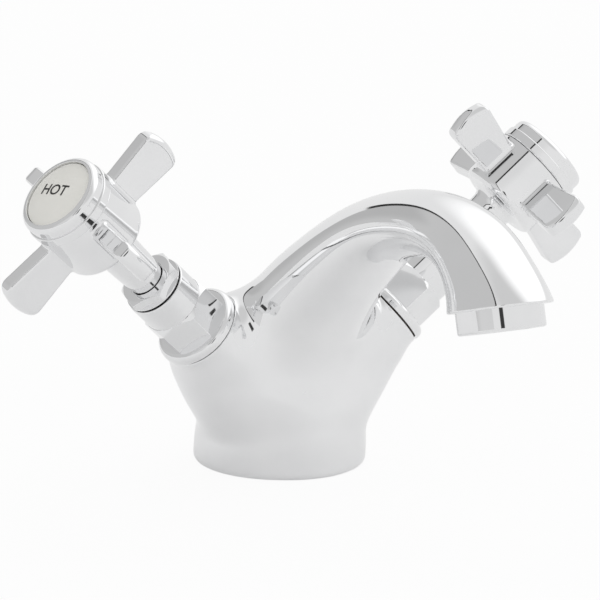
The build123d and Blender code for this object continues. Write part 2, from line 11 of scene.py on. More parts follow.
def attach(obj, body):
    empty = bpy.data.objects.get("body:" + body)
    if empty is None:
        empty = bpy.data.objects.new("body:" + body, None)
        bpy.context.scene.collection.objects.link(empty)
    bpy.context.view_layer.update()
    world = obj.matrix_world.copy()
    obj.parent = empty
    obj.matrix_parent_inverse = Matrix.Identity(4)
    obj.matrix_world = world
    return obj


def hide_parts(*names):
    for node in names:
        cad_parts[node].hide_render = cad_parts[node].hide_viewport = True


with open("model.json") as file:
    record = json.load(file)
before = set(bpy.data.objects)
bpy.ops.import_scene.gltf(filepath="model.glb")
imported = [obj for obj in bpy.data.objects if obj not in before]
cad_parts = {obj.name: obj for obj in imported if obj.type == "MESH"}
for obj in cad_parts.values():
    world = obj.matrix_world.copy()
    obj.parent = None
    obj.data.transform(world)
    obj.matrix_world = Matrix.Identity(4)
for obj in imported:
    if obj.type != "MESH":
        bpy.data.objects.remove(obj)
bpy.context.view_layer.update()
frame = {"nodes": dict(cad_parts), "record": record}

# Shapes are worked out in millimetres and written to the meshes in metres. Points are welded where
# they fall together on a grid of WELD steps to the millimetre.
MM = 0.001
WELD = 2000

# Valve axes and the mouth of the spout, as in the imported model
VALVE_ORIGIN = np.array((0.0, -0.8, 15.6))
VALVE_RISE = math.radians(41.4)
VALVE_SWEEP = math.radians(10.7)
MOUTH_CENTRE = np.array((0.0, -113.3, 67.5))
MOUTH_TILT = math.radians(16.0)
MOUTH_AXIS = np.array((0.0, -math.sin(MOUTH_TILT), -math.cos(MOUTH_TILT)))
UP = np.array((0.0, 0.0, 1.0))
RIGHT = np.array((1.0, 0.0, 0.0))

# Sides: name, sign of X, and the turns of the crosshead, bonnet and gland nut in degrees
SIDES = (
    ("hot", -1, -16.0, 17.0, 6.0),
    ("cold", 1, 13.0, 30.0, -6.0),
)

# Casting: spout rows are centre y and z, half width and half height
SPOUT_ROWS = np.array((
    (0.0, -14.0, 24.8, 24.8),
    (0.0, -4.0, 24.8, 24.8),
    (0.0, 4.5, 24.8, 24.8),
    (-0.6, 8.5, 24.6, 24.6),
    (-1.4, 12.5, 24.1, 24.1),
    (-3.0, 24.0, 22.5, 21.8),
    (-7.5, 37.5, 20.2, 18.2),
    (-17.0, 50.0, 17.6, 15.6),
    (-28.6, 60.3, 15.2, 13.6),
    (-43.3, 70.9, 13.3, 11.6),
    (-58.2, 78.9, 12.4, 9.7),
    (-73.6, 83.1, 12.0, 9.1),
    (-88.6, 84.0, 12.0, 8.7),
    (-101.3, 80.4, 12.3, 9.1),
    (-109.8, 73.0, 13.2, 11.6),
    (-114.2, 65.4, 14.5, 15.0),
    (-116.4, 57.0, 15.4, 16.4),
))
SPOUT_STATIONS = 601
SPOUT_SKIP = 10

# Shoulder rows are distance along a valve axis, radius and trim off the front
SHOULDER_ROWS = np.array((
    (0.0, 20.0, 0.0),
    (10.0, 19.4, 0.25),
    (20.0, 18.2, 1.1),
    (30.0, 15.8, 1.5),
    (36.0, 13.8, 1.15),
    (41.6, 11.2, 0.3),
    (56.0, 6.0, 0.0),
))
SHOULDER_STATIONS = 240
SHOULDER_BACK = np.array((0.0, 1.0, -0.1))
SHOULDER_START = 6.0
BOSS_RADIUS = 12.2
BOSS_START = 18.0
BOSS_FACE = 41.6

# Fillets of the casting, and the heights or distances over which they change
BLEND = 12.0
BLEND_RISE = (8.0, 26.0)
BLEND_LEAST = 2.5
BLEND_FOOT = 0.1
BLEND_FOOT_RISE = (3.0, 9.0)
BLEND_BOSS = 3.0
BLEND_BOSS_FALL = (33.0, 41.0)
BLEND_BOSS_DROP = 0.75
BASE_ROUND = 2.4
MOUTH_ROUND = 0.5
BOSS_ROUND = 0.4

# Grid on which the casting is sampled
BODY_LOW = np.array((-46.0, -133.4, -6.0))
BODY_HIGH = np.array((46.0, 30.0, 97.0))
BODY_STEP = 1.0

# Holes in the casting as corners of radius and height. Those in the mouth and foot go in from 0.
VALVE_BORE = ((10.4, BOSS_FACE), (10.4, 30.0), (9.0, 30.0), (9.0, 21.0), (0.0, 21.0))
MOUTH_BORE = ((10.95, 0.0), (10.95, -5.4), (6.6, -5.4), (6.4, -9.0), (0.0, -9.0))
GROOVE_OUTER = 22.2
GROOVE_INNER = 17.2
GROOVE_FLOOR = -2.2
INLET_BORE = ((4.5, 0.0), (4.5, -11.0), (3.4, -11.0), (3.4, -24.5), (0.0, -24.5))
STUD_BORE = ((3.4, 0.0), (3.4, -14.0), (0.0, -14.0))
FOOT_HOLES = (
    (-9.4, -2.4, INLET_BORE),
    (9.4, -2.4, INLET_BORE),
    (0.0, 10.5, STUD_BORE),
)

# Crosshead, with heights along the valve axis
ARM_CENTRE = 94.4
ARM_ROOT = 7.0
ARM_ROOT_WIDTH = 9.6
ARM_TIP = 28.9
ARM_TIP_WIDTH = 13.4
ARM_REACH = 30.6
ARM_CORNER = 2.2
ARM_THICKNESS = 5.2
ARM_EDGE = 0.9
ARM_FILLET = 1.4
HUB_RADIUS = 12.6
HUB_BOTTOM = 86.2
HUB_TOP = 102.0
HUB_ROUND = 2.0
HUB_RIM_ROUND = 0.3
HUB_BORE = 10.5
HUB_FLOOR_TOP = 95.0
HUB_FLOOR_BOTTOM = 92.2
SCREW_HOLE = 2.15
SPINDLE_HOLE = 4.65
SLEEVE_BOTTOM = 66.0
SLEEVE_RADIUS = 5.2
NECK_BOTTOM = 69.6
NECK_TOP = 84.8
NECK_BOTTOM_RADIUS = 5.5
NECK_TOP_RADIUS = 6.2
NECK_FILLET = 3.2
NECK_RIM_ROUND = 0.15
CROSSHEAD_HALF = 32.0
CROSSHEAD_MARGIN = 2.0
CROSSHEAD_STEP = 0.42

# Bonnet, gland nut, button and aerator collar
BONNET_HEX_WIDTH = 18.2
BONNET_FLANGE_TOP = 45.0
BONNET_FLANGE_FLAT = 10.55
BONNET_HEX_TOP = 54.6
BONNET_BARREL_RADIUS = 9.0
GLAND_HEX_WIDTH = 15.8
GLAND_RIM_RADIUS = 8.7
GLAND_HEX_BOTTOM = 64.3
GLAND_TOP = 67.3
GLAND_MOUTH_RADIUS = 5.7
BUTTON_RADIUS = 10.45
BUTTON_BOTTOM = 104.0
BUTTON_RIM = 108.2
BUTTON_CROWN = 109.0
BUTTON_SOFT = 0.4
CROWN_RISE = BUTTON_CROWN - BUTTON_RIM
CROWN_RADIUS = (BUTTON_RADIUS**2 + CROWN_RISE**2) / (2 * CROWN_RISE)
CROWN_ROWS = 16
COLLAR_RADIUS = 11.75
COLLAR_HALF_FLAT = 11.2
COLLAR_LENGTH = 6.0
COLLAR_ROUND = 0.7
COLLAR_LIP_RADIUS = 9.3
COLLAR_THREAD_RADIUS = 10.9

SPOKES = 112
HOLE_SPOKES = 40
ARC_STEPS = 5


def add_object(name, data):
    """An object in the scene."""
    made = bpy.data.objects.new(name, data)
    bpy.context.scene.collection.objects.link(made)
    return made


def spline(knots, values, at):
    """A natural cubic spline through rows of values."""
    count = len(knots)
    gaps = np.diff(knots)
    matrix = np.eye(count)
    right = np.zeros_like(values)
    for i in range(1, count - 1):
        matrix[i, i - 1:i + 2] = gaps[i - 1], 2 * (gaps[i - 1] + gaps[i]), gaps[i]
        rise = (values[i + 1] - values[i]) / gaps[i]
        fall = (values[i] - values[i - 1]) / gaps[i - 1]
        right[i] = 6 * (rise - fall)
    bend = np.linalg.solve(matrix, right)
    i = np.clip(np.searchsorted(knots, at) - 1, 0, count - 2)
    shape = (-1,) + (1,) * (values.ndim - 1)
    gap = gaps[i].reshape(shape)
    a = (knots[i + 1] - at).reshape(shape) / gap
    b = 1 - a
    curve = ((a**3 - a) * bend[i] + (b**3 - b) * bend[i + 1]) * gap**2 / 6
    return a * values[i] + b * values[i + 1] + curve


def unit(vectors):
    """Vectors brought to length one."""
    return vectors / np.linalg.norm(vectors, axis=-1, keepdims=True)


def ease(value, low, high):
    """A smooth step from 0 at low to 1 at high."""
    t = np.clip((value - low) / (high - low), 0, 1)
    return t * t * (3 - 2 * t)


def smooth_min(a, b, k):
    """The union of two fields with a fillet."""
    h = np.clip(0.5 + 0.5 * (b - a) / k, 0, 1)
    return b + (a - b) * h - k * h * (1 - h)


def rounded_max(a, b, radius):
    """The intersection of two fields with a rounded edge."""
    a = a + radius
    b = b + radius
    outer = np.hypot(np.maximum(a, 0), np.maximum(b, 0))
    return outer + np.minimum(np.maximum(a, b), 0) - radius


def valve_axis(sign):
    """The outward direction of one valve."""
    flat = math.cos(VALVE_RISE)
    return np.array((
        sign * flat * math.cos(VALVE_SWEEP),
        -flat * math.sin(VALVE_SWEEP),
        math.sin(VALVE_RISE),
    ))


def gradient(field, points, step=0.1):
    """The slope of a field at points."""
    slope = np.empty_like(points)
    for i in range(3):
        shift = np.zeros(3)
        shift[i] = step
        slope[:, i] = (field(points + shift) - field(points - shift)) / (2 * step)
    return slope


def sample(field, low, high, step, stations=None):
    """A field on a grid, slice by slice across X. stations gives what Y and Z alone decide."""
    x, y, z = (np.arange(a, b + step, step) for a, b in zip(low, high))
    yz = np.stack(np.meshgrid(y, z, indexing="ij"), -1).reshape(-1, 2)
    known = stations(yz) if stations else ()
    values = np.empty((len(x), len(y), len(z)))
    for i, across in enumerate(x):
        points = np.column_stack((np.full(len(yz), across), yz))
        values[i] = field(points, *known).reshape(len(y), len(z))
    return values


def nets(values, low, step):
    """A quad mesh of the zero surface of a field sampled on a grid."""
    shape = values.shape
    inside = values < 0
    corners = [(i, j, k) for i in (0, 1) for j in (0, 1) for k in (0, 1)]

    def at(array, corner):
        return array[tuple(slice(c, n - 1 + c) for c, n in zip(corner, shape))]

    count = sum(at(inside, corner).astype(int) for corner in corners)
    cells = (count > 0) & (count < 8)
    total = np.zeros(cells.shape + (3,))
    hits = np.zeros(cells.shape)
    for corner in corners:
        for way in range(3):
            if corner[way]:
                continue
            other = tuple(1 if i == way else c for i, c in enumerate(corner))
            first, last = at(values, corner), at(values, other)
            crossing = (first < 0) != (last < 0)
            share = np.where(crossing, first / np.where(crossing, first - last, 1), 0)
            for i in range(3):
                total[..., i] += np.where(crossing, corner[i] + (share if i == way else 0), 0)
            hits += crossing
    index = np.full(cells.shape, -1)
    index[cells] = np.arange(cells.sum())
    points = low + (np.argwhere(cells) + total[cells] / hits[cells][:, None]) * step
    quads = []
    for way in range(3):
        u, v = (way + 1) % 3, (way + 2) % 3
        before = tuple(slice(0, -1) if i == way else slice(None) for i in range(3))
        after = tuple(slice(1, None) if i == way else slice(None) for i in range(3))
        sign = inside[before].astype(int) - inside[after].astype(int)
        spots = np.argwhere(sign != 0)
        within = (spots[:, u] > 0) & (spots[:, v] > 0)
        within &= (spots[:, u] < shape[u] - 1) & (spots[:, v] < shape[v] - 1)
        spots = spots[within]
        facing = sign[tuple(spots.T)]
        ring = []
        for du, dv in ((1, 1), (0, 1), (0, 0), (1, 0)):
            spot = spots.copy()
            spot[:, u] -= du
            spot[:, v] -= dv
            ring.append(index[tuple(spot.T)])
        ring = np.stack(ring, 1)
        ring[facing < 0] = ring[facing < 0][:, ::-1]
        quads.append(ring)
    return points, np.concatenate(quads)


def settle(field, points, turns=3):
    """Move points onto the zero surface of a field."""
    for turn in range(turns):
        slope = gradient(field, points)
        points = points - (field(points) / (slope * slope).sum(1))[:, None] * slope
    return points


def trim(points, faces, level):
    """Cut a mesh where level is zero, keep the side below it and return the cut as a loop."""
    points = [np.asarray(p) for p in points]
    level = list(level)
    made = {}
    kept = []
    follow = {}
    for face in faces:
        face = [int(i) for i in face]
        below = [level[i] <= 0 for i in face]
        if all(below):
            kept.append(face)
            continue
        if not any(below):
            continue
        ring = []
        for a, b in zip(face, face[1:] + face[:1]):
            if level[a] <= 0:
                ring.append(a)
            if (level[a] <= 0) == (level[b] <= 0):
                continue
            key = (min(a, b), max(a, b))
            if key not in made:
                share = level[a] / (level[a] - level[b])
                made[key] = len(points)
                points.append(points[a] + share * (points[b] - points[a]))
                level.append(0.0)
            ring.append(made[key])
            if level[a] <= 0:
                leave = made[key]
            else:
                enter = made[key]
        kept.append(ring)
        follow[leave] = enter
    loop = [next(iter(follow))]
    while follow[loop[-1]] != loop[0]:
        loop.append(follow[loop[-1]])
    return np.array(points), kept, loop


class Place:
    """A frame to build in: an origin and three directions."""

    def __init__(self, origin, x, z):
        self.origin = np.asarray(origin, float)
        self.turn = np.stack((x, np.cross(z, x), z), 1)

    def points(self, local):
        return np.asarray(local) @ self.turn.T + self.origin

    def ways(self, local):
        return np.asarray(local) @ self.turn.T


WORLD = Place((0, 0, 0), RIGHT, UP)
MOUTH = Place(MOUTH_CENTRE, RIGHT, MOUTH_AXIS)


def valve_place(sign, turn=0.0):
    """The frame of one valve: Z along its axis, X up the slope and turned about the axis."""
    along = valve_axis(sign)
    slope = unit(UP - along * along[2])
    side = np.cross(along, slope)
    angle = math.radians(turn)
    return Place(VALVE_ORIGIN, math.cos(angle) * slope + math.sin(angle) * side, along)


class Shape:
    """A mesh gathered from patches, with a normal of its own at each corner of a face."""

    def __init__(self):
        self.points = []
        self.normals = []
        self.faces = []
        self.count = 0

    def patch(self, points, normals, faces):
        self.points.append(np.asarray(points, float).reshape(-1, 3))
        self.normals.append(np.asarray(normals, float).reshape(-1, 3))
        self.faces.extend([self.count + int(i) for i in face] for face in faces)
        self.count += len(self.points[-1])

    def grid(self, points, normals):
        """Rows of points, each row a closed ring."""
        rows, columns = points.shape[:2]
        faces = []
        for row in range(rows - 1):
            for column in range(columns):
                a = row * columns + column
                b = row * columns + (column + 1) % columns
                faces.append((a, b, b + columns, a + columns))
        self.patch(points, normals, faces)

    def lathe(self, runs, spokes):
        """Turn runs of radius, height and normal rows about Z, at spokes of unit x and y."""
        spokes = np.asarray(spokes)
        for run in runs:
            rows = np.array(run)
            points = np.empty((len(rows), len(spokes), 3))
            normals = np.empty_like(points)
            points[..., :2] = rows[:, None, :1] * spokes[None]
            points[..., 2] = rows[:, None, 1]
            normals[..., :2] = rows[:, None, 2:3] * spokes[None]
            normals[..., 2] = rows[:, None, 3]
            self.grid(points, normals)

    def build(self, name, place):
        """Weld the patches and make a Blender object in metres."""
        points = np.concatenate(self.points)
        normals = np.concatenate(self.normals)
        keys = np.round(points * WELD).astype(np.int64)
        first, index = np.unique(keys, axis=0, return_index=True, return_inverse=True)[1:]
        index = index.ravel()
        sizes = {}
        for face in self.faces:
            ring = [c for c, d in zip(face, face[-1:] + face[:-1]) if index[c] != index[d]]
            if len(ring) > 2:
                sizes.setdefault(len(ring), []).append(ring)
        faces = []
        for rings in sizes.values():
            rings = np.array(rings)
            corners = points[rings]
            facing = np.cross(corners, np.roll(corners, -1, axis=1)).sum(1)
            wrong = (facing * normals[rings].sum(1)).sum(1) < 0
            rings[wrong] = rings[wrong][:, ::-1]
            faces.extend(rings)
        used = np.unique(np.concatenate([index[ring] for ring in faces]))
        renumber = np.full(len(first), -1)
        renumber[used] = np.arange(len(used))
        mesh = bpy.data.meshes.new(name)
        mesh.from_pydata(
            place.points(points[first[used]]) * MM,
            [],
            [renumber[index[ring]].tolist() for ring in faces],
        )
        mesh.shade_smooth()
        mesh.normals_split_custom_set(place.ways(unit(normals[np.concatenate(faces)])))
        return add_object(name, mesh)


def circle(count, turn=0.0):
    """Unit spokes all the way round."""
    angles = np.linspace(0, 2 * math.pi, count, endpoint=False) + turn
    return np.stack((np.cos(angles), np.sin(angles)), 1)


def spoke_row(spokes, radius, height):
    """A row of points at one radius and height."""
    return np.column_stack((spokes * radius, np.full(len(spokes), height)))


def profile(corners, closed=True):
    """Runs of radius, height and normal rows from corners of radius, height and rounding.

    The path goes up the outside and down the inside. A corner with no rounding starts a new run.
    """
    corners = [np.array(c, float) for c in corners]
    count = len(corners)
    runs = []
    run = []
    legs = count if closed else count - 1
    for i in range(legs):
        here, there = corners[i], corners[(i + 1) % count]
        way = unit(there[:2] - here[:2])
        normal = np.array((way[1], -way[0]))
        start = here[:2] + way * cut_back(corners, i, closed)
        end = there[:2] - way * cut_back(corners, (i + 1) % count, closed)
        run.append((*start, *normal))
        run.append((*end, *normal))
        last = i == legs - 1
        rounding = there[2]
        if rounding == 0 or last:
            runs.append(run)
            run = []
        if rounding == 0 or (last and not closed):
            continue
        after = corners[(i + 2) % count]
        onward = unit(after[:2] - there[:2])
        sweep = math.atan2(way[0] * onward[1] - way[1] * onward[0], way @ onward)
        centre = end - normal * rounding * math.copysign(1, sweep)
        arc = []
        for step in range(ARC_STEPS + 1):
            angle = sweep * step / ARC_STEPS
            turned = np.array((
                normal[0] * math.cos(angle) - normal[1] * math.sin(angle),
                normal[0] * math.sin(angle) + normal[1] * math.cos(angle),
            ))
            arc.append((*(centre + turned * rounding * math.copysign(1, sweep)), *turned))
        if last:
            runs.append(arc)
        else:
            run.extend(arc[1:])
    return runs


def cut_back(corners, i, closed):
    """How far from a corner its rounding starts."""
    count = len(corners)
    rounding = corners[i][2]
    if rounding == 0 or (not closed and i in (0, count - 1)):
        return 0.0
    way = unit(corners[i][:2] - corners[i - 1][:2])
    onward = unit(corners[(i + 1) % count][:2] - corners[i][:2])
    sweep = abs(math.atan2(way[0] * onward[1] - way[1] * onward[0], way @ onward))
    return rounding * math.tan(sweep / 2)


def cap_off(shape, points, faces, field, near, centre, along, radius):
    """Cut a surface flat across an axis with a rounded rim. near is where the cut may act.

    Returns the trimmed mesh and the rim's rings, to be added once every cut is made.
    """
    normals = unit(gradient(field, points))
    level = (points - centre) @ along + radius * (1 - normals @ along)
    points, faces, loop = trim(points, faces, np.where(near, level, -1.0))
    start = points[loop]
    ways = unit(gradient(field, start))
    lean = np.arccos(np.clip(ways @ along, -1, 1))
    side = unit(ways - (ways @ along)[:, None] * along)
    middle = start - radius * ways
    rings = [start]
    turned = [ways]
    for step in range(1, ARC_STEPS + 1):
        angle = (lean * (1 - step / ARC_STEPS))[:, None]
        way = np.cos(angle) * along + np.sin(angle) * side
        rings.append(middle + radius * way)
        turned.append(way)
    rings[-1] = rings[-1] - ((rings[-1] - centre) @ along)[:, None] * along
    shape.grid(np.array(rings), np.array(turned))
    return points, faces, rings[-1]


def line_in(shape, rim, place, runs):
    """Join a rim to runs turned about a frame's Z axis inside it.

    The first row lies in the rim's face.
    """
    local = (rim - place.origin) @ place.turn
    spokes = unit(local[:, :2])
    inner = np.column_stack((spokes * runs[0][0][0], np.full(len(spokes), runs[0][0][1])))
    face = np.stack((local, inner))
    flat = np.broadcast_to(np.array((0.0, 0, 1)), face.shape)
    shape.grid(np.stack((rim, place.points(inner))), place.ways(flat))
    sink(shape, place, runs, spokes)
    return spokes


def flat_face(shape, rings, way):
    """A flat face inside the first ring and outside the others."""
    triangles = tessellate_polygon([[Vector(p) for p in ring] for ring in rings])
    points = np.concatenate(rings)
    shape.patch(points, np.broadcast_to(way, points.shape), triangles)


def sink(shape, place, runs, spokes):
    """Add runs turned about a frame's Z axis."""
    part = Shape()
    part.lathe(runs, spokes)
    grid = (-1, len(spokes), 3)
    for points, normals in zip(part.points, part.normals):
        shape.grid(place.points(points).reshape(grid), place.ways(normals).reshape(grid))


# The casting as a field: a trunk that becomes the spout, and a shoulder to each valve

chord = np.r_[0, np.cumsum(np.hypot(*np.diff(SPOUT_ROWS[:, :2], axis=0).T))]
stations = np.linspace(0, chord[-1], SPOUT_STATIONS)
spout_line = spline(chord, SPOUT_ROWS, stations)
spout_way = unit(np.gradient(spout_line[:, :2], stations, axis=0))
spout_bend = np.gradient(np.unwrap(np.arctan2(spout_way[:, 1], spout_way[:, 0])), stations)
spout_track = np.column_stack((spout_line[:, :2], spout_way, spout_bend)).T
shoulder_reach = np.linspace(0, SHOULDER_ROWS[-1, 0], SHOULDER_STATIONS)
shoulder_radius, shoulder_trim = spline(SHOULDER_ROWS[:, 0], SHOULDER_ROWS[:, 1:], shoulder_reach).T
axes = {sign: valve_axis(sign) for sign in (-1, 1)}


def spout_station(yz):
    """For points in the YZ plane, their height off the spout's centre line and its half sizes there."""
    coarse = spout_line[::SPOUT_SKIP]
    nearest = np.empty(len(yz), int)
    for low in range(0, len(yz), 20000):
        part = yz[low:low + 20000]
        gap = (part[:, :1] - coarse[:, 0]) ** 2 + (part[:, 1:] - coarse[:, 1]) ** 2
        nearest[low:low + 20000] = gap.argmin(1)
    at = stations[nearest * SPOUT_SKIP]
    for turn in range(5):
        y, z, way_y, way_z, bend = (np.interp(at, stations, row) for row in spout_track)
        gap_y, gap_z = yz[:, 0] - y, yz[:, 1] - z
        height = gap_z * way_y - gap_y * way_z
        at = at + (gap_y * way_y + gap_z * way_z) / np.maximum(1 - bend * height, 0.25)
    return height, np.interp(at, stations, spout_line[:, 2]), np.interp(at, stations, spout_line[:, 3])


def join_body(points, height, half_width, half_height):
    """The casting's field from the spout's stations at the points."""
    reach = np.sqrt((points[:, 0] / half_width) ** 2 + (height / half_height) ** 2)
    trunk = (reach - 1) * np.sqrt(half_width * half_height)
    gap = points - VALVE_ORIGIN
    sides = np.full(len(points), 1e3)
    bosses = np.full(len(points), 1e3)
    out = np.full(len(points), -1e3)
    for along in axes.values():
        distance = gap @ along
        across = gap - distance[:, None] * along
        back = SHOULDER_BACK - (SHOULDER_BACK @ along) * along
        back = back / np.linalg.norm(back)
        most = np.interp(distance, shoulder_reach, shoulder_radius)
        trim = np.interp(distance, shoulder_reach, shoulder_trim)
        behind = across @ back
        stretch = (behind - trim) * most / (most - trim) - behind
        shoulder = np.linalg.norm(across + stretch[:, None] * back, axis=1) - most
        sides = np.minimum(sides, np.maximum(shoulder, SHOULDER_START - distance))
        boss = np.linalg.norm(across, axis=1) - BOSS_RADIUS
        bosses = np.minimum(bosses, np.maximum(boss, BOSS_START - distance))
        out = np.maximum(out, distance)
    z = points[:, 2]
    foot = BLEND_FOOT + (BLEND_LEAST - BLEND_FOOT) * ease(z, *BLEND_FOOT_RISE)
    casting = smooth_min(trunk, sides, foot + (BLEND - BLEND_LEAST) * ease(z, *BLEND_RISE))
    return smooth_min(casting, bosses, BLEND_BOSS * (1 - BLEND_BOSS_DROP * ease(out, *BLEND_BOSS_FALL)))


def body_field(points):
    """The casting's field at any points."""
    return join_body(points, *spout_station(points[:, 1:]))


def body_mesh():
    """The casting's outer skin, before it is cut."""
    values = sample(join_body, BODY_LOW, BODY_HIGH, BODY_STEP, spout_station)
    points, quads = nets(values, BODY_LOW, BODY_STEP)
    return settle(body_field, points), quads


def bore_runs(corners):
    """Runs of a stepped bore that ends blind."""
    return profile([(*c, 0.0) for c in corners], closed=False)


def make_casting():
    """The casting, cut flat at its two valve faces, its mouth and its foot, with its holes."""
    shape = Shape()
    points, faces = body_mesh()
    for sign, along in axes.items():
        gap = points - VALVE_ORIGIN
        distance = gap @ along
        radius = np.linalg.norm(gap - distance[:, None] * along, axis=1)
        near = (distance > 30) & (radius < 16) & (points[:, 0] * sign > 0)
        face_centre = VALVE_ORIGIN + along * BOSS_FACE
        points, faces, rim = cap_off(
            shape, points, faces, body_field, near, face_centre, along, BOSS_ROUND
        )
        line_in(shape, rim, valve_place(sign), bore_runs(VALVE_BORE))
    near = (points[:, 1] < -96) & (points[:, 2] < 78)
    points, faces, rim = cap_off(
        shape, points, faces, body_field, near, MOUTH_CENTRE, MOUTH_AXIS, MOUTH_ROUND
    )
    line_in(shape, rim, MOUTH, bore_runs(MOUTH_BORE))
    down = -UP
    points, faces, rim = cap_off(
        shape, points, faces, body_field, points[:, 2] < 6, np.zeros(3), down, BASE_ROUND
    )
    foot = Place((0, 0, 0), RIGHT, down)
    spokes = line_in(shape, rim, foot, bore_runs((
        (GROOVE_OUTER, 0.0), (GROOVE_OUTER, GROOVE_FLOOR),
        (GROOVE_INNER, GROOVE_FLOOR), (GROOVE_INNER, 0.0),
    )))
    shape.patch(points, unit(gradient(body_field, points)), faces)
    # Middle of the underside, with the two inlets and the fixing stud's hole
    rings = [foot.points(spoke_row(spokes, GROOVE_INNER, 0.0))]
    for x, y, corners in FOOT_HOLES:
        hole = Place((x, y, 0), RIGHT, down)
        sink(shape, hole, bore_runs(corners), circle(HOLE_SPOKES))
        rings.append(hole.points(spoke_row(circle(HOLE_SPOKES), corners[0][0], 0.0)))
    flat_face(shape, rings, down)
    return shape.build("casting", WORLD)


# Crosshead handle

def crosshead_field(points):
    """A hub with a neck below it and four flat arms that widen outwards."""
    along = np.maximum(abs(points[:, 0]), abs(points[:, 1]))
    across = np.minimum(abs(points[:, 0]), abs(points[:, 1]))
    height = points[:, 2]
    radius = np.hypot(points[:, 0], points[:, 1])
    flare = (ARM_TIP_WIDTH - ARM_ROOT_WIDTH) / 2 / (ARM_TIP - ARM_ROOT)
    half = ARM_ROOT_WIDTH / 2 + flare * (along - ARM_ROOT)
    sides = (abs(height - ARM_CENTRE) - half) / math.hypot(1, flare)
    bulge = ARM_REACH - ARM_TIP
    tip_radius = ((ARM_TIP_WIDTH / 2) ** 2 + bulge**2) / (2 * bulge)
    tip = np.hypot(along - ARM_REACH + tip_radius, height - ARM_CENTRE) - tip_radius
    blade = rounded_max(sides, across - ARM_THICKNESS / 2, ARM_EDGE)
    arm = rounded_max(blade, tip, ARM_CORNER)
    hub = rounded_max(radius - HUB_RADIUS, HUB_BOTTOM - height, HUB_ROUND)
    taper = (NECK_TOP_RADIUS - NECK_BOTTOM_RADIUS) / (NECK_TOP - NECK_BOTTOM)
    neck = radius - NECK_BOTTOM_RADIUS - taper * (height - NECK_BOTTOM)
    return smooth_min(smooth_min(hub, neck, NECK_FILLET), arm, ARM_FILLET)


def crosshead_shape():
    """The crosshead, open at the top for the button and bored from below for the spindle."""
    shape = Shape()
    low = np.array((-CROSSHEAD_HALF, -CROSSHEAD_HALF, NECK_BOTTOM - CROSSHEAD_MARGIN))
    high = np.array((CROSSHEAD_HALF, CROSSHEAD_HALF, HUB_TOP + CROSSHEAD_MARGIN))
    values = sample(crosshead_field, low, high, CROSSHEAD_STEP)
    points, faces = nets(values, low, CROSSHEAD_STEP)
    points = settle(crosshead_field, points)
    through = circle(HOLE_SPOKES)
    for centre, along, radius, corners in (
        (HUB_TOP, UP, HUB_RIM_ROUND, ((HUB_BORE, HUB_TOP), (HUB_BORE, HUB_FLOOR_TOP))),
        (NECK_BOTTOM, -UP, NECK_RIM_ROUND, (
            (SLEEVE_RADIUS, -NECK_BOTTOM), (SLEEVE_RADIUS, -SLEEVE_BOTTOM),
            (SPINDLE_HOLE, -SLEEVE_BOTTOM), (SPINDLE_HOLE, -HUB_FLOOR_BOTTOM),
        )),
    ):
        near = (points[:, 2] - centre) * along[2] > -3
        near &= np.hypot(points[:, 0], points[:, 1]) < 15
        points, faces, rim = cap_off(
            shape, points, faces, crosshead_field, near, UP * centre, along, radius
        )
        place = Place((0, 0, 0), RIGHT, along)
        spokes = line_in(shape, rim, place, bore_runs(corners))
        flat_face(shape, (
            place.points(spoke_row(spokes, *corners[-1])),
            place.points(spoke_row(through, SCREW_HOLE, corners[-1][1])),
        ), along)
    sink(shape, WORLD, bore_runs((
        (SCREW_HOLE, HUB_FLOOR_TOP), (SCREW_HOLE, HUB_FLOOR_BOTTOM),
    )), through)
    shape.patch(points, unit(gradient(crosshead_field, points)), faces)
    return shape


# Turned and six-sided pieces of the valves

def hexagon(width, corner, flat_steps=10, arc_steps=4):
    """Points and normals round a hexagon with rounded corners, one of them on the X axis."""
    rows = []
    for side in range(6):
        middle = math.radians(60 * side + 30)
        normal = np.array((math.cos(middle), math.sin(middle)))
        along = np.array((-normal[1], normal[0]))
        reach = width / 2 * math.tan(math.pi / 6) - corner * math.tan(math.pi / 6)
        for step in range(flat_steps + 1):
            point = normal * width / 2 + along * reach * (2 * step / flat_steps - 1)
            rows.append((*point, *normal))
        centre = normal * (width / 2 - corner) + along * reach
        for step in range(1, arc_steps):
            angle = middle + math.radians(60) * step / arc_steps
            way = np.array((math.cos(angle), math.sin(angle)))
            rows.append((*(centre + way * corner), *way))
    return np.array(rows)


def chamfered_wall(shape, outline, bottom, top, cone_top, cone_bottom, soften):
    """The sides of a nut whose ends are cut by cones.

    A cone is its radius at the end and its slope.
    """
    reach = np.hypot(outline[:, 0], outline[:, 1])
    spoke = outline[:, :2] / reach[:, None]
    rows = []
    ways = []
    wall = np.column_stack((outline[:, 2:], np.zeros(len(outline))))

    def cone_rows(end, cone, sign):
        radius, slope = cone
        fall = np.maximum(reach - radius, 0.0) * slope
        edge = end - sign * fall
        way = unit(np.column_stack((spoke * slope, np.full(len(reach), float(sign)))))
        step = np.minimum(soften, fall / 2)
        on_wall = np.column_stack((outline[:, :2], edge - sign * step))
        back = step / math.hypot(1, slope)
        on_cone = np.column_stack((spoke * (reach - back)[:, None], edge + sign * back * slope))
        rim = np.column_stack((spoke * np.minimum(radius, reach)[:, None], np.full(len(reach), end)))
        return on_wall, on_cone, rim, way

    on_wall, on_cone, rim, way = cone_rows(bottom, cone_bottom, -1)
    rows += [rim, on_cone, on_wall]
    ways += [way, way, wall]
    on_wall, on_cone, rim, way = cone_rows(top, cone_top, 1)
    rows += [on_wall, on_cone, rim]
    ways += [wall, way, way]
    shape.grid(np.array(rows), np.array(ways))
    return spoke, np.array(rows[0]), np.array(rows[-1])


def flat_ring(shape, outer, inner, way):
    """A flat ring between two rows of points."""
    rows = np.stack((outer, inner))
    shape.grid(rows, np.broadcast_to(np.array(way, float), rows.shape))


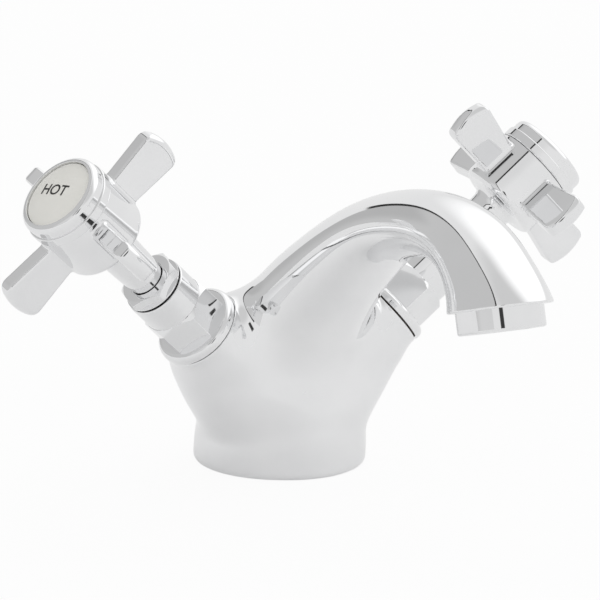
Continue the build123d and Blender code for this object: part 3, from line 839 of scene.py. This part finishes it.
def bonnet_shape():
    """A round flange, a hexagon and a plain barrel, bored for the spindle."""
    shape = Shape()
    outline = hexagon(BONNET_HEX_WIDTH, 0.35)
    spokes, low, high = chamfered_wall(
        shape, outline, BONNET_FLANGE_TOP, BONNET_HEX_TOP, (9.1, 1.0), (13.0, 1.0), 0.12
    )
    shape.lathe(profile((
        (10.35, 30.0, 0.0), (10.35, 42.0, 0.0), (12.4, 42.0, 0.25), (12.4, BONNET_FLANGE_TOP, 1.85),
        (BONNET_FLANGE_FLAT, BONNET_FLANGE_TOP, 0.0),
    ), closed=False), spokes)
    flat_ring(shape, spoke_row(spokes, BONNET_FLANGE_FLAT, BONNET_FLANGE_TOP), low, UP)
    flat_ring(shape, high, spoke_row(spokes, BONNET_BARREL_RADIUS, BONNET_HEX_TOP), UP)
    shape.lathe(profile((
        (BONNET_BARREL_RADIUS, BONNET_HEX_TOP, 0.0), (BONNET_BARREL_RADIUS, 63.2, 0.45), (6.5, 63.2, 0.0),
        (6.5, 53.0, 0.0), (4.65, 53.0, 0.0), (4.65, 50.0, 0.0), (6.05, 50.0, 0.0),
        (6.05, 38.0, 0.0), (7.4, 38.0, 0.0), (7.4, 30.0, 0.0),
        (10.35, 30.0, 0.0),
    ), closed=False), spokes)
    return shape


def gland_nut_shape():
    """A thin hexagon over a round rim, with a threaded sleeve below."""
    shape = Shape()
    outline = hexagon(GLAND_HEX_WIDTH, 0.4)
    spokes, low, high = chamfered_wall(
        shape, outline, GLAND_HEX_BOTTOM, GLAND_TOP, (7.8, 0.6), (GLAND_RIM_RADIUS, 0.6), 0.1
    )
    shape.lathe(profile((
        (6.45, 63.8, 0.0), (GLAND_RIM_RADIUS, 63.8, 0.15), (GLAND_RIM_RADIUS, GLAND_HEX_BOTTOM, 0.0),
    ), closed=False), spokes)
    flat_ring(shape, spoke_row(spokes, GLAND_RIM_RADIUS, GLAND_HEX_BOTTOM), low, UP)
    flat_ring(shape, high, spoke_row(spokes, GLAND_MOUTH_RADIUS, GLAND_TOP), UP)
    shape.lathe(profile((
        (GLAND_MOUTH_RADIUS, GLAND_TOP, 0.0), (5.5, GLAND_TOP, 0.15), (5.5, 65.7, 0.0),
        (4.65, 65.7, 0.0), (4.65, 57.5, 0.0), (6.45, 57.5, 0.0), (6.45, 63.8, 0.0),
    ), closed=False), spokes)
    return shape


def cap_ring_shape():
    """A stepped bezel that holds the button."""
    shape = Shape()
    shape.lathe(profile((
        (8.8, 98.6, 0.0), (10.45, 98.6, 0.0), (10.45, 102.05, 0.0), (13.0, 102.05, 0.45),
        (13.0, 105.0, 0.4), (12.5, 105.0, 0.0), (12.5, 108.9, 1.85), (10.5, 108.9, 0.1),
        (10.5, 104.0, 0.0), (8.8, 104.0, 0.0),
    )), circle(SPOKES))
    return shape


def crown_height(radius):
    """The height of the button's crowned face."""
    return BUTTON_CROWN - CROWN_RADIUS + np.sqrt(CROWN_RADIUS**2 - radius**2)


def button_shape():
    """A disc with a soft edge and a crowned face."""
    shape = Shape()
    edge_start = BUTTON_RIM - BUTTON_SOFT
    runs = profile((
        (0.0, BUTTON_BOTTOM, 0.0), (BUTTON_RADIUS, BUTTON_BOTTOM, 0.3), (BUTTON_RADIUS, edge_start, 0.0),
    ), closed=False)
    edge = []
    last = BUTTON_RADIUS - BUTTON_SOFT
    lean = math.asin(last / CROWN_RADIUS)
    end = float(crown_height(last))
    for step in range(ARC_STEPS + 1):
        angle = (math.pi / 2 - lean) * step / ARC_STEPS
        share = step / ARC_STEPS
        edge.append((
            BUTTON_RADIUS - BUTTON_SOFT * (1 - math.cos(angle)),
            edge_start + (end - BUTTON_RIM + BUTTON_SOFT) * math.sin(share * math.pi / 2),
            math.cos(angle),
            math.sin(angle),
        ))
    edge[-1] = (last, end, math.sin(lean), math.cos(lean))
    for radius in np.linspace(last, 0.0, CROWN_ROWS)[1:]:
        lean = math.asin(radius / CROWN_RADIUS)
        edge.append((radius, float(crown_height(radius)), math.sin(lean), math.cos(lean)))
    shape.lathe(runs + [edge], circle(SPOKES))
    return shape


def spindle_shape():
    """A stem with a thicker foot, hollow at both ends."""
    shape = Shape()
    shape.lathe(profile((
        (2.5, 30.1, 0.0), (5.2, 30.1, 0.0), (5.2, 32.0, 0.0), (6.0, 32.0, 0.3), (6.0, 44.0, 0.3),
        (4.6, 44.0, 0.0), (4.6, 92.0, 0.4), (2.15, 92.0, 0.0), (2.15, 81.0, 0.0), (0.0, 81.0, 0.0),
        (0.0, 38.0, 0.0), (2.5, 38.0, 0.0),
    )), circle(SPOKES))
    return shape


def ring_shape(inner, outer, bottom, top, rounding):
    """A ring with softened outer edges."""
    shape = Shape()
    shape.lathe(profile((
        (inner, bottom, 0.0), (outer, bottom, rounding), (outer, top, rounding), (inner, top, 0.0),
    )), circle(SPOKES))
    return shape


def collar_outline(radius, half_flat):
    """Points and normals round a circle with two flats."""
    rows = []
    for x, y in circle(SPOKES):
        if abs(radius * x) <= half_flat:
            rows.append((radius * x, radius * y, x, y))
        else:
            sign = math.copysign(1, x)
            rows.append((sign * half_flat, half_flat * abs(y / x) * math.copysign(1, y), sign, 0.0))
    return np.array(rows)


def aerator_shape():
    """A collar with two flats and a rounded lower edge, and its threaded sleeve."""
    shape = Shape()
    outline = collar_outline(COLLAR_RADIUS, COLLAR_HALF_FLAT)
    reach = np.hypot(outline[:, 0], outline[:, 1])
    spokes = outline[:, :2] / reach[:, None]
    ways = np.column_stack((outline[:, 2:], np.zeros(len(outline))))
    rows = [np.column_stack((outline[:, :2], np.zeros(len(outline))))]
    turned = [ways]
    for step in range(ARC_STEPS + 1):
        angle = math.pi / 2 * step / ARC_STEPS
        inward = COLLAR_ROUND * (1 - math.cos(angle))
        rows.append(np.column_stack((
            outline[:, :2] - inward * outline[:, 2:],
            np.full(len(outline), COLLAR_LENGTH - COLLAR_ROUND + COLLAR_ROUND * math.sin(angle)),
        )))
        turned.append(math.cos(angle) * ways + math.sin(angle) * UP)
    shape.grid(np.array(rows), np.array(turned))
    flat_ring(shape, rows[-1], spoke_row(spokes, COLLAR_LIP_RADIUS, COLLAR_LENGTH), UP)
    shape.lathe(profile((
        (COLLAR_LIP_RADIUS, COLLAR_LENGTH, 0.0), (8.9, COLLAR_LENGTH, 0.3), (8.9, 5.2, 0.0),
        (9.6, 5.2, 0.0), (9.6, -4.2, 0.0), (COLLAR_THREAD_RADIUS, -4.2, 0.0),
        (COLLAR_THREAD_RADIUS, 0.0, 0.0),
    ), closed=False), spokes)
    flat_ring(shape, spoke_row(spokes, COLLAR_THREAD_RADIUS, 0.0), rows[0], -UP)
    return shape


# Lettering on the buttons: turn in degrees, width and place of each word

LETTER_HEIGHT = 3.4
LETTER_WEIGHT = 0.012
LETTER_THICKNESS = 0.08
LETTER_SINK = 0.03
LETTERING = {
    "hot": (-84.0, 9.8, -1.6, 1.05),
    "cold": (-96.0, 12.4, 1.6, 1.05),
}


def lettering(side, sign):
    """The side's name on the crowned face of its button, as a thin layer of enamel."""
    spin, width, right, up = LETTERING[side]
    curve = bpy.data.curves.new("letters", "FONT")
    curve.body = side.upper()
    curve.offset = LETTER_WEIGHT
    curve.resolution_u = 6
    curve.extrude = LETTER_THICKNESS
    text = add_object("letters", curve)
    bpy.context.view_layer.update()
    mesh = bpy.data.meshes.new_from_object(text)
    bpy.data.objects.remove(text)
    cleaner = bmesh.new()
    cleaner.from_mesh(mesh)
    bmesh.ops.remove_doubles(cleaner, verts=cleaner.verts, dist=0.0001)
    cleaner.to_mesh(mesh)
    cleaner.free()
    points = np.array([v.co for v in mesh.vertices])
    low, high = points[:, :2].min(0), points[:, :2].max(0)
    flat = (points[:, :2] - (low + high) / 2) * (width, LETTER_HEIGHT) / (high - low) + (right, up)
    height = crown_height(np.hypot(flat[:, 0], flat[:, 1])) + points[:, 2] - LETTER_SINK
    placed = valve_place(sign, spin).points(np.column_stack((flat, height))) * MM
    mesh.vertices.foreach_set("co", placed.ravel())
    mesh.update()
    return add_object(f"{side}_lettering", mesh)


# Materials

class Nodes:
    """A small helper to add nodes and links to a tree."""

    def __init__(self, tree):
        self.tree = tree

    def add(self, kind, **settings):
        node = self.tree.nodes.new(kind)
        for key, value in settings.items():
            setattr(node, key, value)
        return node

    def link(self, source, target):
        self.tree.links.new(source, target)


NOISE_LIMITS = (0.3, 0.7)


def surface_material(name, colours, roughness, scale, metallic=0.0, bump=0.0, bump_scale=0.0, **sockets):
    """A principled surface whose colour and roughness drift with a noise in the piece's own space.

    colours and roughness are pairs of limits; bump is a height in metres.
    """
    made = bpy.data.materials.new(name)
    made.use_nodes = True
    made.node_tree.nodes.clear()
    nodes = Nodes(made.node_tree)
    shader = nodes.add("ShaderNodeBsdfPrincipled")
    shader.inputs["Metallic"].default_value = metallic
    for socket, value in sockets.items():
        shader.inputs[socket.replace("_", " ")].default_value = value
    output = nodes.add("ShaderNodeOutputMaterial")
    nodes.link(shader.outputs["BSDF"], output.inputs["Surface"])
    where = nodes.add("ShaderNodeTexCoord")
    noise = nodes.add("ShaderNodeTexNoise")
    noise.inputs["Scale"].default_value = scale
    noise.inputs["Detail"].default_value = 4.0
    nodes.link(where.outputs["Object"], noise.inputs["Vector"])
    ramp = nodes.add("ShaderNodeValToRGB")
    for element, position, colour in zip(ramp.color_ramp.elements, NOISE_LIMITS, colours):
        element.position = position
        element.color = (*colour, 1)
    nodes.link(noise.outputs["Fac"], ramp.inputs["Fac"])
    nodes.link(ramp.outputs["Color"], shader.inputs["Base Color"])
    spread = nodes.add("ShaderNodeMapRange")
    for socket, value in zip(("From Min", "From Max", "To Min", "To Max"), (*NOISE_LIMITS, *roughness)):
        spread.inputs[socket].default_value = value
    nodes.link(noise.outputs["Fac"], spread.inputs["Value"])
    nodes.link(spread.outputs["Result"], shader.inputs["Roughness"])
    if bump:
        grain = nodes.add("ShaderNodeTexNoise")
        grain.inputs["Scale"].default_value = bump_scale
        grain.inputs["Detail"].default_value = 3.0
        nodes.link(where.outputs["Object"], grain.inputs["Vector"])
        relief = nodes.add("ShaderNodeBump")
        relief.inputs["Distance"].default_value = bump
        nodes.link(grain.outputs["Fac"], relief.inputs["Height"])
        nodes.link(relief.outputs["Normal"], shader.inputs["Normal"])
    return made


# Finishes: limits of colour, limits of roughness, noise scale, metallic, bump height and bump scale
FINISHES = {
    "chrome_casting": (((0.85, 0.853, 0.86), (0.89, 0.892, 0.897)), (0.035, 0.06), 45.0, 1.0),
    "chrome_fittings": (((0.84, 0.843, 0.85), (0.88, 0.882, 0.887)), (0.03, 0.055), 90.0, 1.0),
    "chrome_handles": (((0.85, 0.853, 0.86), (0.89, 0.892, 0.897)), (0.03, 0.05), 70.0, 1.0),
    "spindle_chrome": (((0.62, 0.62, 0.63), (0.70, 0.70, 0.71)), (0.12, 0.2), 160.0, 1.0),
    "brass": (((0.66, 0.49, 0.22), (0.74, 0.57, 0.28)), (0.22, 0.34), 220.0, 1.0, 0.00002, 900.0),
    "seal_rubber": (
        ((0.018, 0.018, 0.019), (0.034, 0.034, 0.035)), (0.55, 0.75), 400.0, 0.0, 0.00003, 1500.0),
    "fibre": (((0.045, 0.035, 0.03), (0.075, 0.06, 0.05)), (0.7, 0.85), 600.0, 0.0, 0.00004, 1400.0),
    "flow_former": (((0.70, 0.70, 0.68), (0.78, 0.78, 0.76)), (0.35, 0.5), 300.0),
    "screen_steel": (((0.45, 0.45, 0.46), (0.60, 0.60, 0.61)), (0.25, 0.4), 500.0, 1.0),
    "porcelain": (((0.95, 0.94, 0.885), (0.98, 0.97, 0.92)), (0.12, 0.2), 120.0),
    "enamel": (((0.012, 0.011, 0.011), (0.022, 0.02, 0.02)), (0.25, 0.4), 900.0),
}
GLAZES = {"porcelain": {"Coat_Weight": 0.5, "Coat_Roughness": 0.05}}
MATERIALS = {
    name: surface_material(name, *finish, **GLAZES.get(name, {}))
    for name, finish in FINISHES.items()
}


def dress(piece, body, slot, finish=None, *nodes):
    """Give a piece the material of its slot or finish, put it on the body it rides on, and hide the nodes
    it stands for.
    """
    piece.data.materials.clear()
    piece.data.materials.append(MATERIALS[finish or slot])
    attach(piece, body)
    if nodes:
        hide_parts(*nodes)


# Carried-over nodes take the finish of their slot
for row in frame["record"]["subparts"]:
    mesh = frame["nodes"][row["node"]].data
    mesh.materials.clear()
    mesh.materials.append(MATERIALS[row["material_slot"]])

dress(make_casting(), "tap_body", "chrome_casting", None, "body_casting")
collar = aerator_shape().build("aerator_collar", MOUTH)
dress(collar, "tap_body", "chrome_fittings", None, "aerator_housing")

handle = crosshead_shape()
bonnet = bonnet_shape()
gland_nut = gland_nut_shape()
cap_ring = cap_ring_shape()
button = button_shape()
spindle = spindle_shape()
gland_ring = ring_shape(6.5, 7.8, 63.2, 63.8, 0.1)
bonnet_washer = ring_shape(10.4, 11.6, 41.6, 42.0, 0.1)
for side, sign, arm_turn, bonnet_turn, gland_turn in SIDES:
    plain = valve_place(sign)
    arm_place = valve_place(sign, arm_turn)
    bonnet_place = valve_place(sign, bonnet_turn)
    gland_place = valve_place(sign, gland_turn)
    turning = f"{side}_handle"
    for shape, label, where, body, slot, node in (
        (bonnet, "bonnet_body", bonnet_place, "tap_body", "chrome_fittings", "bonnet"),
        (gland_nut, "gland_hexagon", gland_place, "tap_body", "chrome_fittings", "gland_nut"),
        (gland_ring, "gland_seal", plain, "tap_body", "seal_rubber", "gland_ring"),
        (bonnet_washer, "bonnet_gasket", plain, "tap_body", "fibre", "bonnet_washer"),
        (spindle, "spindle_stem", plain, turning, "spindle_chrome", "spindle"),
        (handle, "crosshead_casting", arm_place, turning, "chrome_handles", "crosshead"),
        (cap_ring, "cap_bezel", plain, turning, "chrome_handles", "cap_ring"),
        (button, "index_face", plain, turning, "porcelain", "index_button"),
    ):
        piece = shape.build(f"{side}_{label}", where)
        dress(piece, body, slot, None, f"{side}_{node}")
    dress(lettering(side, sign), turning, "porcelain", "enamel")


# Studio: pale floor, a room of soft light, and the camera

FLOOR_REACH = 6.0
FLOOR_SEEN_WHITE = 0.93
FLOOR_METAL_WHITE = 0.3


def make_floor():
    """White paper: seen straight or in metal it is nearly plain white, with the object's soft shadow."""
    r = FLOOR_REACH
    mesh = bpy.data.meshes.new("floor")
    mesh.from_pydata([(-r, -r, 0), (r, -r, 0), (r, r, 0), (-r, r, 0)], [], [(0, 1, 2, 3)])
    floor = add_object("floor", mesh)
    paper = surface_material("floor_paper", ((0.93, 0.93, 0.93), (0.95, 0.95, 0.95)), (0.8, 0.9), 3.0)
    nodes = Nodes(paper.node_tree)
    output = next(node for node in paper.node_tree.nodes if node.type == "OUTPUT_MATERIAL")
    lit = output.inputs["Surface"].links[0].from_socket
    white = nodes.add("ShaderNodeEmission")
    path = nodes.add("ShaderNodeLightPath")
    metal = nodes.add("ShaderNodeMath", operation="MAXIMUM")
    nodes.link(path.outputs["Is Glossy Ray"], metal.inputs[0])
    nodes.link(path.outputs["Is Transmission Ray"], metal.inputs[1])
    metal_share = nodes.add("ShaderNodeMath", operation="MULTIPLY")
    metal_share.inputs[1].default_value = FLOOR_METAL_WHITE
    nodes.link(metal.outputs["Value"], metal_share.inputs[0])
    share = nodes.add("ShaderNodeMath", operation="MULTIPLY_ADD")
    share.inputs[1].default_value = FLOOR_SEEN_WHITE
    nodes.link(path.outputs["Is Camera Ray"], share.inputs[0])
    nodes.link(metal_share.outputs["Value"], share.inputs[2])
    blend = nodes.add("ShaderNodeMixShader")
    nodes.link(share.outputs["Value"], blend.inputs["Fac"])
    nodes.link(lit, blend.inputs[1])
    nodes.link(white.outputs["Emission"], blend.inputs[2])
    nodes.link(blend.outputs["Shader"], output.inputs["Surface"])
    mesh.materials.append(paper)


# Light of the room. Headings are directions or degrees of azimuth and elevation. Edges, floors and
# tops are pairs of limits along a direction, between which a light fades.
LEVEL = 1.06
EDGE_SOFT = 0.002
FRONT_TOP_HEADING = (0, 62)
FRONT_TOP_EDGES = (0.78, 0.95)
FRONT_TOP_LEVEL = 0.84
SOFTBOX_HEADING = (97, 42)
SOFTBOX_EDGES = (0.62, 0.92)
SOFTBOX_FLOOR = (0.26, 0.36)
SOFTBOX_LEVEL = 1.55
PANEL_HEADING = (-0.8992, 0.3951, 0.1879)
PANEL_EDGE = 0.5046
PANEL_LEVEL = 0.74
PANEL_LOW_HEADING = (-175, 25)
PANEL_LOW_EDGES = (0.85, 0.97)
PANEL_LOW_TOP = (-0.72, -0.5)
PANEL_LOW_LEVEL = 0.62
PANEL_PALE_HEADING = (-65, 5)
PANEL_PALE_EDGES = (0.82, 0.97)
PANEL_PALE_LEVEL = 0.9
LINE_HEADING = (-0.8992, 0.3951, 0.1017)
LINE_EDGE = 0.3996
LINE_FLOOR = (0.27, 0.3)
LINE_LEVEL = 0.04
STRIP_AZIMUTH = -30
STRIP_SIDES = (-0.1, -0.07)
STRIP_FRONT = (0.0, 0.1)
STRIP_FLOOR = (0.13, 0.17)
STRIP_TOP = (-0.46, -0.42)
STRIP_LEVEL = 0.06


def heading(azimuth, elevation):
    """A direction from degrees: azimuth 0 is towards the front, growing to the right."""
    a, e = math.radians(azimuth), math.radians(elevation)
    return (math.sin(a) * math.cos(e), -math.cos(a) * math.cos(e), math.sin(e))


def make_world():
    """A pale room with a brighter softbox, a grey panel edged by a dark line, and a dark strip."""
    world = bpy.data.worlds.new("studio")
    bpy.context.scene.world = world
    world.use_nodes = True
    world.node_tree.nodes.clear()
    nodes = Nodes(world.node_tree)
    output = nodes.add("ShaderNodeOutputWorld")
    light = nodes.add("ShaderNodeBackground")
    nodes.link(light.outputs["Background"], output.inputs["Surface"])
    where = nodes.add("ShaderNodeTexCoord")

    def step(direction, low, high):
        """0 where the view along a direction is below low, 1 above high."""
        dot = nodes.add("ShaderNodeVectorMath", operation="DOT_PRODUCT")
        dot.inputs[1].default_value = direction
        nodes.link(where.outputs["Generated"], dot.inputs[0])
        spread = nodes.add("ShaderNodeMapRange", interpolation_type="SMOOTHSTEP")
        spread.inputs["From Min"].default_value = low
        spread.inputs["From Max"].default_value = high
        nodes.link(dot.outputs["Value"], spread.inputs["Value"])
        return spread.outputs["Result"]

    def rim(direction, edge):
        """A step with a nearly sharp edge."""
        return step(direction, edge - EDGE_SOFT, edge + EDGE_SOFT)

    def both(a, b):
        """The part that two masks share."""
        product = nodes.add("ShaderNodeMath", operation="MULTIPLY")
        nodes.link(a, product.inputs[0])
        nodes.link(b, product.inputs[1])
        return product.outputs["Value"]

    def over(below, mask, level):
        """Blend a level over what is below it."""
        blend = nodes.add("ShaderNodeMix", data_type="FLOAT")
        nodes.link(mask, blend.inputs["Factor"])
        for name, value in (("A", below), ("B", level)):
            if isinstance(value, float):
                blend.inputs[name].default_value = value
            else:
                nodes.link(value, blend.inputs[name])
        return blend.outputs["Result"]

    up = (0.0, 0.0, 1.0)
    down = (0.0, 0.0, -1.0)
    panel_low = both(step(down, *PANEL_LOW_TOP), step(heading(*PANEL_LOW_HEADING), *PANEL_LOW_EDGES))
    panel = over(PANEL_LEVEL, panel_low, PANEL_LOW_LEVEL)
    panel = over(panel, step(heading(*PANEL_PALE_HEADING), *PANEL_PALE_EDGES), PANEL_PALE_LEVEL)
    line_mask = both(rim(LINE_HEADING, LINE_EDGE), step(up, *LINE_FLOOR))
    strip_sides = both(
        step(heading(STRIP_AZIMUTH + 90, 0), *STRIP_SIDES),
        step(heading(STRIP_AZIMUTH - 90, 0), *STRIP_SIDES),
    )
    strip_height = both(step(up, *STRIP_FLOOR), step(down, *STRIP_TOP))
    strip_front = both(strip_sides, step(heading(STRIP_AZIMUTH, 0), *STRIP_FRONT))
    softbox_mask = both(step(heading(*SOFTBOX_HEADING), *SOFTBOX_EDGES), step(up, *SOFTBOX_FLOOR))
    level = over(LEVEL, step(heading(*FRONT_TOP_HEADING), *FRONT_TOP_EDGES), FRONT_TOP_LEVEL)
    level = over(level, softbox_mask, SOFTBOX_LEVEL)
    level = over(level, both(strip_front, strip_height), STRIP_LEVEL)
    level = over(level, line_mask, LINE_LEVEL)
    level = over(level, rim(PANEL_HEADING, PANEL_EDGE), panel)
    nodes.link(level, light.inputs["Strength"])


CAMERA_AZIMUTH = math.radians(30.3014)
CAMERA_ELEVATION = math.radians(12.3426)
CAMERA_ROLL = math.radians(1.08996)
CAMERA_DISTANCE = 1.1044955
CAMERA_AIM = np.array((-0.0116795, -0.03, 0.0543707))
CAMERA_LENS = 238.28
CAMERA_SENSOR = 36.0


def make_camera():
    """A camera that looks back along its heading at the aim, turned a little about its view."""
    data = bpy.data.cameras.new("camera")
    data.lens = CAMERA_LENS
    data.sensor_width = CAMERA_SENSOR
    data.clip_start = 0.01
    camera = add_object("camera", data)
    flat = math.cos(CAMERA_ELEVATION)
    back = np.array((
        -math.sin(CAMERA_AZIMUTH) * flat,
        -math.cos(CAMERA_AZIMUTH) * flat,
        math.sin(CAMERA_ELEVATION),
    ))
    level = np.array((math.cos(CAMERA_AZIMUTH), -math.sin(CAMERA_AZIMUTH), 0.0))
    rise = np.cross(back, level)
    right = math.cos(CAMERA_ROLL) * level + math.sin(CAMERA_ROLL) * rise
    up = math.cos(CAMERA_ROLL) * rise - math.sin(CAMERA_ROLL) * level
    matrix = np.eye(4)
    matrix[:3, :3] = np.stack((right, up, back), 1)
    matrix[:3, 3] = CAMERA_AIM + CAMERA_DISTANCE * back
    camera.matrix_world = Matrix(matrix)
    bpy.context.scene.camera = camera


make_floor()
make_world()
make_camera()
bpy.context.scene.view_settings.view_transform = "Standard"
